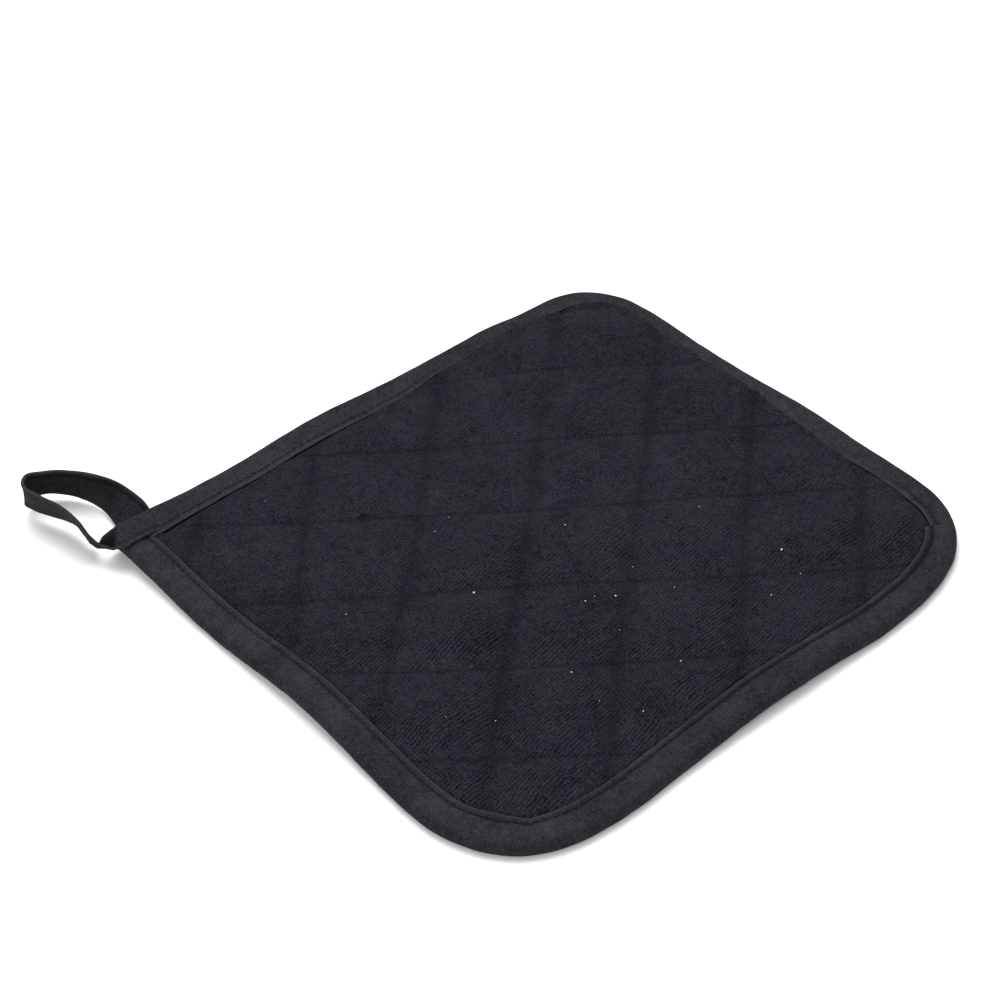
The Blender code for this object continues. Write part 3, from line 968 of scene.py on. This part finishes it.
# Where the sewn lip stands up from the terry
LIP_LIFTS = table(
    "walk half_length height",
    (60, 30, 0.15), (186, 12, 0.9), (215, 12, 0.25), (366, 14, 0.5), (392, 9, 0.35), (436, 12, 0.2),
)

# Creases pressed across the tape
CREASES = table(
    "walk half_length depth",
    (383.4, 1.6, 0.7), (372.5, 1.0, 0.25), (200.0, 2.2, 0.35), (209.0, 1.3, 0.15),
    (563.0, 1.6, 0.2), (576.0, 1.6, 0.25),
)

# The sewn groove, the two rolls beside it, the puckers at its stitches and the drag of the bias
GROOVE_DEPTH = 0.20
GROOVE_HALF = 0.42
ROLLS = table("from_lip half_width height", (0.9, 0.8, 0.06), (4.8, 1.9, 0.22))
LEAST_ROLL = 0.3
PUCKER = 0.06
PUCKER_PITCH = 3.1
PUCKER_HALF = 1.3
DRAGS = table("height wave slant squeeze seed", (0.10, 7.0, 0.9, 0.4, 11), (0.12, 26.0, 0.0, 0.3, 12))

# The points of the folded section: beside the lip, on to the bend, round the bend, over the sewing
# on the under face, inside the fold, and up behind the lip
BY_LIP = np.array((0.0, 0.12, 0.4, 0.8, 1.25, 1.65, 1.95, 2.2, 2.45, 2.8, 3.3, 4.0))
TO_BEND = np.array((0.25, 0.5, 0.75, 1.0))
ROUND_BEND = np.radians(np.arange(72.0, -73.0, -18.0))
UNDER_SEWING = np.array((-0.8, -0.4, 0.0, 0.4, 0.8))
UNDER_UP = np.array((0.0, 0.0, 0.0, 0.12, 0.25, 0.12, 0.0, 0.0))
FOLD_INSIDE = table(
    "inward up",
    (BACK_FLAP, TAPE * 0.7), (2.9, TAPE), (1.3, 2.0), (TAPE, EDGE_HEIGHT / 2),
    (1.3, EDGE_HEIGHT - TAPE - 1.0), (2.9, EDGE_HEIGHT - TAPE),
)
BEHIND_LIP = table("from_lip up", (2.4, 4.35), (1.2, 4.5))
LIP_THICK = 0.9
LIP_TURN = 0.15
LIP_ROLL = 0.32
LIP_ROLL_IN = 0.4
# The bend is squarer than a half circle, and swells a little along the edge
BEND_SQUARE_IN = 0.85
BEND_SQUARE_UP = 0.9
BEND_SWELL = 0.08
BEND_SWELL_WAVE = 11.0
# How the relief ends at the bend, the creases at the lip, and a standing lip at the sewing
RELIEF_OFF_BEND = 1.2
RELIEF_FADE = 2.0
CREASE_PAST_LIP = 1.0
CREASE_FADE = 3.0
LIP_STAND_ROUND = 0.6


def lap_at(walks):
    """How far the tape's end is raised to pass over its start."""
    return LAP * smooth(1.0 - (OUTLINE_LENGTH - walks - LAP_WALK) / LAP_FADE)


def squash_at(walks):
    """The tape's two ends are pressed flat where they cross at the corner."""
    at_start = smooth(1.0 - (walks - START_SQUASHED) / SQUASH_RUN)
    at_end = smooth(1.0 - (OUTLINE_LENGTH - walks - END_SQUASHED) / SQUASH_RUN)
    return 1.0 - SQUASH * np.maximum(at_start, at_end)


def tape_relief(walks, from_lip):
    """How the tape's upper face stands above its level: lip, sewn groove, puckers and creases."""
    shown = groove_at(walks)
    groove = -GROOVE_DEPTH * hump(from_lip - STITCH_IN, GROOVE_HALF) * shown
    rolls = sum(row.height * hump(from_lip - row.from_lip, row.half_width) for row in ROLLS)
    pulled = PUCKER * np.cos(2 * pi * walks / PUCKER_PITCH)
    pucker = pulled * shown * hump(from_lip - STITCH_IN, PUCKER_HALF)
    free = np.clip(1.0 - from_lip / STITCH_IN, 0.0, 1.0) ** LIP_STAND_ROUND
    stand = bumps_at(walks, LIP_LIFTS, "height") * free
    press = bumps_at(walks, CREASES, "depth")
    raised = groove + rolls * np.maximum(shown, LEAST_ROLL) + pucker + ripples(DRAGS, walks, from_lip)
    return raised + stand - press * smooth((from_lip + CREASE_PAST_LIP) / CREASE_FADE)


def tape_sections(walks, flap, lap):
    """The folded tape's sections as (in from the outline, up), round its outside and back inside."""
    walks, flap, lap = (np.asarray(v, float)[:, None] for v in (walks, flap, lap))
    level = 0 * flap
    out = lap * LAP_OUT / LAP
    top = EDGE_HEIGHT + lap
    on_to_bend = BY_LIP[-1] + (flap - BEND_START - BY_LIP[-1]) * TO_BEND
    from_lip = np.concatenate((level + BY_LIP, on_to_bend), axis=1)
    relief = tape_relief(walks, from_lip) * smooth((flap - from_lip - RELIEF_OFF_BEND) / RELIEF_FADE)
    roll = LIP_ROLL * (1.0 - np.clip(from_lip / LIP_ROLL_IN, 0, 1)) ** 2
    upper_in = flap - from_lip - out * smooth(from_lip / LAP_OUT_RUN)

    height = np.sin(ROUND_BEND)
    swell = BEND_SWELL * ripple(walks, 0 * ROUND_BEND, BEND_SWELL_WAVE, seed=13)
    bend_in = BEND_START * (1.0 - np.cos(ROUND_BEND) ** BEND_SQUARE_IN) - out * (1.0 + height) / 2 + swell
    bend_up = top / 2 * (1.0 + np.sign(height) * np.abs(height) ** BEND_SQUARE_UP)

    sewn_in = flap - STITCH_IN
    under_in = (level + BEND_START, (sewn_in + BEND_START) / 2, sewn_in + UNDER_SEWING, level + BACK_FLAP)
    inner_in, inner_up = np.transpose(FOLD_INSIDE)
    behind_in, behind_up = np.transpose(BEHIND_LIP)
    lip_up = top - LIP_THICK + relief[:, :1]
    inward = np.concatenate(
        (upper_in, bend_in, *under_in, level + inner_in, flap - behind_in, flap - LIP_TURN), axis=1
    )
    upward = np.concatenate(
        (top + relief - roll, bend_up, level + UNDER_UP, level + inner_up, level + behind_up, lip_up), axis=1
    )
    hidden = 0 * inward[:, from_lip.shape[1] :] + SIDE
    return inward, upward, np.concatenate((from_lip, hidden), axis=1)


tape_end = OUTLINE_LENGTH - END_LEFT
walks = np.concatenate((np.arange(START_WALK, tape_end, TAPE_STEP), (tape_end,), CREASE_WALKS))
walks = np.unique(np.round(walks, 3))
edge, inward = outline_at(walks)
section_in, section_up, from_lip = tape_sections(walks, flap_at(walks), lap_at(walks))
section_up *= squash_at(walks)[:, None]
x = edge[:, :1] + inward[:, :1] * section_in
y = edge[:, 1:] + inward[:, 1:] * section_in
sections = np.stack((x, y, section_up + lift_at(x, y)), axis=2)


def swept_piece(name, rings, material):
    """A mesh object through rings of points, each joined to the next, closed at both ends."""
    count, around = rings.shape[:2]
    rows = np.arange(count - 1)[:, None] * around
    columns = np.arange(around)[None, :]
    after = (columns + 1) % around
    quads = (rows + columns, rows + after, rows + around + after, rows + around + columns)
    faces = list(np.stack([quad.ravel() for quad in quads], axis=1))
    faces.append(range(around - 1, -1, -1))
    faces.append(range((count - 1) * around, count * around))
    return mesh_object(name, rings.reshape(-1, 3), faces, [material])


TAPE_DARK = (0.0030, 0.0029, 0.0038, 1.0)
TAPE_LIT = (0.0350, 0.0340, 0.0412, 1.0)
# The colour below paints a highlight along the tape's lip, and spots lighter by wear
TAPE_HIGHLIGHT_AND_WEAR = (0.0600, 0.0590, 0.0690, 1.0)


def tape_material(name, dark, lit, highlight_and_wear_colour):
    """Woven cotton tape: painted shade in its sewn groove, a painted highlight along its folds, spots of
    wear.
    """
    made = plain_material(name, lit, 0.8, specular=0.04, sheen=0.01)
    tree = made.node_tree
    tree.nodes["Principled BSDF"].inputs["Sheen Roughness"].default_value = 0.4
    place = object_place(tree)
    flat = add_node(tree, "ShaderNodeUVMap", uv_map="cloth").outputs["UV"]
    weave = place_group(tree, PLAIN_WEAVE, flat, Pitch=WEAVE_PITCH)
    mottle = place_group(tree, COTTON_MOTTLE, place, Slow=11.0, Quick=3.2)["Mottle"]
    speckle = noise_of(tree, place, 1300.0, roughness=0.6)
    layers = ((mottle, 1.0), (speckle, 1.3), (weave["Height"], 0.16), (weave["Slub"], 0.6))
    body = sum_of(tree, *[centred(tree, value, gain) for value, gain in layers], 0.5)
    # Painted shade: the colour darkens by the stored groove value, in the binding's sewn groove and on the
    # loop's seam and hollow
    groove_shade = math_of(tree, "MULTIPLY_ADD", stored(tree, "groove"), -0.55, 1.0)
    base = mixed(tree, math_of(tree, "MULTIPLY", body, groove_shade, clamp=True), dark, lit)
    slubs = product_of(tree, weave["Slub"], 1.3)
    # Painted highlight along the binding's lip and the loop's edges, and spots lighter by wear
    highlight_and_wear = math_of(tree, "MULTIPLY", stored(tree, "highlight_and_wear"), slubs, clamp=True)
    paint(tree, mixed(tree, highlight_and_wear, base, highlight_and_wear_colour))
    add_relief(tree, (weave["Height"], 0.45, 0.00012), (weave["Slub"], 0.35, 0.0002))
    return made


def unroll(target, rings, along):
    """A UV map in metres on the swept quads: round the section from its first point, and along it."""
    count, around = rings.shape[:2]
    apart = np.linalg.norm(np.roll(rings, -1, axis=1) - rings, axis=2)
    round_section = np.insert(np.cumsum(apart, axis=1), 0, 0.0, axis=1)
    places = np.zeros((len(target.data.loops), 2))
    quads = (count - 1) * around
    row, column = np.divmod(np.arange(quads), around)
    for corner, (row_step, column_step) in enumerate(((0, 0), (0, 1), (1, 1), (1, 0))):
        places[corner : 4 * quads : 4, 0] = round_section[row, column + column_step]
        places[corner : 4 * quads : 4, 1] = along[row + row_step]
    layer = target.data.uv_layers.new(name="cloth")
    layer.data.foreach_set("uv", (places * MM).ravel())


black_tape = tape_material("black_bias_tape", TAPE_DARK, TAPE_LIT, TAPE_HIGHLIGHT_AND_WEAR)
edge_binding = swept_piece("bound_edge", sections, black_tape)
unroll(edge_binding, sections, walks)
# Painted shade in the groove and a painted highlight along the lip, and some spots lighter by wear
PAINTED_GROOVE_AND_LIP = table("from_lip half_width strength", (STITCH_IN, 0.8, 1.3), (0.2, 0.35, 0.5))
SPOT_WAVE = 30.0
SPOTS_OVER = 0.8
SPOT_RUBBED = 0.12
groove_shade, lip_highlight = (row.strength * hump(from_lip - row.from_lip, row.half_width) for row in PAINTED_GROOVE_AND_LIP)
uncovered = 1.0 - bulge_at(walks)[:, None] / 2
spots = ripple(sections[..., 0], sections[..., 1], SPOT_WAVE, seed=21) > SPOTS_OVER
add_values(edge_binding, "groove", (groove_shade * groove_at(walks)[:, None]).ravel())
add_values(edge_binding, "highlight_and_wear", (lip_highlight * uncovered + SPOT_RUBBED * spots).ravel())
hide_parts("edge_binding")
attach(edge_binding, "root")

# The sewing through the tape: the same stitches in the groove on top and on the under face. On top
# it pulls in deeper where hardly any groove shows.
HARDLY_SHOWN = 0.3
TAPE_STITCH = 2.3
TAPE_THREAD = 0.30
SEWN_ROWS = table(
    "name point rise sunk",
    ("binding_thread_top", 7, 0.10, 0.4), ("binding_thread_back", 29, 0.02, 0.0),
)
for row in SEWN_ROWS:
    pulled_in = row.sunk * smooth(1.0 - groove_at(walks) / HARDLY_SHOWN)
    sewn_line = sections[:, row.point] + np.outer(row.rise - pulled_in, (0, 0, 1))
    binding_thread = sewn(row.name, [sewn_line], TAPE_STITCH, TAPE_THREAD)
    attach(binding_thread, "root")


# ---------------------------------------------------------------------------------------------------
# The hanging loop: the same tape folded double and sewn shut, running on from the end of the edge
# binding. It twists on edge, bends round, and goes back flat under the corner, where it is sewn down.

# Over the corner, by the tape's lip edge and its fold edge
FUNNEL = table(
    "lip_x lip_y lip_z fold_x fold_y fold_z",
    (-86.5, 85.6, 8.4, -86.5, 96.4, 8.2), (-91.0, 85.8, 9.25, -91.0, 96.9, 9.0),
    (-96.0, 86.1, 9.3, -95.4, 97.1, 9.0), (-100.4, 86.2, 9.2, -98.2, 97.1, 8.9),
    (-102.6, 88.2, 9.0, -100.4, 97.1, 8.5), (-103.8, 91.6, 8.6, -102.3, 97.0, 8.0),
    (-104.8, 95.3, 8.4, -103.5, 97.2, 6.6),
)
# Past the corner, by the tape's middle, the angle of its width from level, and its width
STATIONS = table(
    "x y z lean width",
    (-104.9, 98.9, 6.6, 60, 8.6), (-105.3, 103.6, 8.8, 72, 11.4), (-105.6, 111.4, 10.2, 67, 12),
    (-107.6, 120.0, 9.7, 70, 12), (-110.0, 128.2, 9.9, 79, 12), (-108.5, 132.8, 9.8, 100, 12),
    (-102.7, 133.3, 8.9, 107, 12), (-96.1, 128.0, 8.1, 99, 12), (-91.5, 120.5, 7.5, 85, 12),
    (-89.0, 112.2, 6.8, 63, 12), (-87.8, 105.0, 4.3, 28, 12), (-87.8, 99.6, 1.9, 4, 12),
    (-87.6, 91.5, 1.5, 0, 12),
)
STATION_STEPS = 9
LOOP_THICK = 1.2
LOOP_DARK = (0.0020, 0.0020, 0.0026, 1.0)
LOOP_LIT = (0.0310, 0.0303, 0.0362, 1.0)
# The colour below paints a highlight along the loop's edges
LOOP_HIGHLIGHT = (0.0540, 0.0530, 0.0620, 1.0)
# The points across one face as shares of its half width, and round one folded tip
FACE_SHARES = np.array((-1, -0.86, -0.72, -0.5, -0.25, 0, 0.25, 0.45, 0.58, 0.68, 0.76, 0.84, 0.92, 1))
TIP_OUT = np.array((0.22, 0.35, 0.22))
TIP_UP = np.array((0.62, 0.0, -0.62)) * LOOP_THICK / 2
TIP_ROUND = 0.35
NARROWEST = 0.3
# The sewing that closes the tape, and its wrinkles
LOOP_SEAM_IN = 1.9
LOOP_SEAM_HALF = 0.35
LOOP_SEAM_DEPTH = 0.14
WRINKLES = table("height wave slant squeeze seed", (0.10, 8.0, 0.0, 1.0, 31), (0.14, 22.0, 0.0, 0.5, 32))
# The hollow past the end of the sewn corner: where it starts, its direction, run and depth, and where
# along Y it is gone again
HOLLOW_AT = (-95.6, 97.6)
HOLLOW_TO = (-0.852, 0.524)
HOLLOW_RUN = 2.4
HOLLOW_DEPTH = 2.3
HOLLOW_GONE = 96.5
HOLLOW_FADE = 4.0
HOLLOW_ROUND = 0.6
# How wide the painted shade along the seam and the painted highlight along the edges are, and how strongly
SEAM_SHADE_HALF = 0.6
SEAM_SHADE = 0.8
HOLLOW_SHADE = 1.8
LOOP_EDGE_HIGHLIGHT_HALF = 0.5
LOOP_EDGE_HIGHLIGHT = 0.5


def smooth_path(rows, steps):
    """A Catmull-Rom curve through the rows, with this many steps from each to the next."""
    rows = np.concatenate((rows[:1], rows, rows[-1:]))
    share = (np.arange(steps) / steps)[:, None]
    pieces = []
    for a, b, c, d in zip(rows, rows[1:], rows[2:], rows[3:]):
        square = (2 * a - 5 * b + 4 * c - d) * share**2
        cube = (3 * b - a - 3 * c + d) * share**3
        pieces.append((2 * b + (c - a) * share + square + cube) / 2)
    return np.concatenate(pieces + [rows[-1:]])


def unit(vectors):
    return vectors / np.linalg.norm(vectors, axis=1)[:, None]


stations = np.array(STATIONS, dtype=float)
heading = unit(np.gradient(stations[:, :3], axis=0))
level = unit(np.cross((0.0, 0.0, 1.0), heading))
lean = np.radians(stations[:, 3:4])
half_across = (level * np.cos(lean) + np.cross(heading, level) * np.sin(lean)) * stations[:, 4:5] / 2
strip = np.concatenate((stations[:, :3] + half_across, stations[:, :3] - half_across), axis=1)
path = smooth_path(np.concatenate((np.array(FUNNEL, dtype=float), strip)), STATION_STEPS)
lip_edge, fold_edge = path[:, :3], path[:, 3:]
centre = (lip_edge + fold_edge) / 2
width = np.linalg.norm(lip_edge - fold_edge, axis=1)[:, None]
across = (lip_edge - fold_edge) / width
outward = unit(np.cross(across, np.gradient(centre, axis=0)))
loop_walk = np.concatenate(((0.0,), np.cumsum(np.linalg.norm(np.diff(centre, axis=0), axis=1))))

half = np.maximum(width / 2 - TIP_ROUND, NARROWEST)
face = half * FACE_SHARES
from_top = width / 2 - face
wrinkle = ripples(WRINKLES, loop_walk[:, None], face)
face_up = LOOP_THICK / 2 - LOOP_SEAM_DEPTH * hump(from_top - LOOP_SEAM_IN, LOOP_SEAM_HALF)
ring_across = np.concatenate((face, half + TIP_OUT, face[:, ::-1], -half - TIP_OUT), axis=1)
ring_outward = np.concatenate(
    (face_up + wrinkle, 0 * half + TIP_UP, (wrinkle - face_up)[:, ::-1], 0 * half - TIP_UP), axis=1
)
loop_rings = centre[:, None, :] + across[:, None, :] * ring_across[..., None]
loop_rings += outward[:, None, :] * ring_outward[..., None]
# Past the end of the sewn corner the empty fold falls in between its two edges
past_corner = (loop_rings[..., :2] - HOLLOW_AT) @ np.array(HOLLOW_TO)
between = np.clip(1.0 - (ring_across / (width / 2)) ** 2, 0.0, 1.0) ** HOLLOW_ROUND
gone = smooth((centre[:, 1] - HOLLOW_GONE) / HOLLOW_FADE)[:, None]
hollow = smooth(past_corner / HOLLOW_RUN) * between * (1.0 - gone)
loop_rings[..., 2] -= HOLLOW_DEPTH * hollow

black_loop_tape = tape_material("black_loop_tape", LOOP_DARK, LOOP_LIT, LOOP_HIGHLIGHT)
hanging_loop = swept_piece("hanging_ribbon", loop_rings, black_loop_tape)
unroll(hanging_loop, loop_rings, loop_walk)
# Painted shade along the sewn seam and in the hollow, and a painted highlight along both edges
seam_mark = SEAM_SHADE * hump(from_top - LOOP_SEAM_IN, SEAM_SHADE_HALF)
edge_highlight = LOOP_EDGE_HIGHLIGHT * hump(np.abs(ring_across) - width / 2, LOOP_EDGE_HIGHLIGHT_HALF)
no_mark = np.zeros((len(loop_rings), len(TIP_OUT)))
groove_mark = np.concatenate((seam_mark, no_mark, seam_mark[:, ::-1], no_mark), axis=1)
shade = np.clip(groove_mark + HOLLOW_SHADE * hollow, 0.0, HOLLOW_SHADE)
add_values(hanging_loop, "groove", shade.ravel())
add_values(hanging_loop, "highlight_and_wear", edge_highlight.ravel())
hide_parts("hanging_loop")
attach(hanging_loop, "root")

# The sewing that closes the folded tape, on its outer and its inner face
LOOP_STITCH = 2.2
LOOP_THREAD = 0.30
sewn_column = int(np.argmin(np.abs(from_top[len(from_top) // 2] - LOOP_SEAM_IN)))
for thread_name, column in (
    ("loop_thread_outer", sewn_column),
    ("loop_thread_inner", 2 * len(FACE_SHARES) + len(TIP_OUT) - 1 - sewn_column),
):
    sewn_line = loop_rings[STATION_STEPS * len(FUNNEL) :, column]
    loop_thread = sewn(thread_name, [sewn_line], LOOP_STITCH, LOOP_THREAD)
    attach(loop_thread, "root")
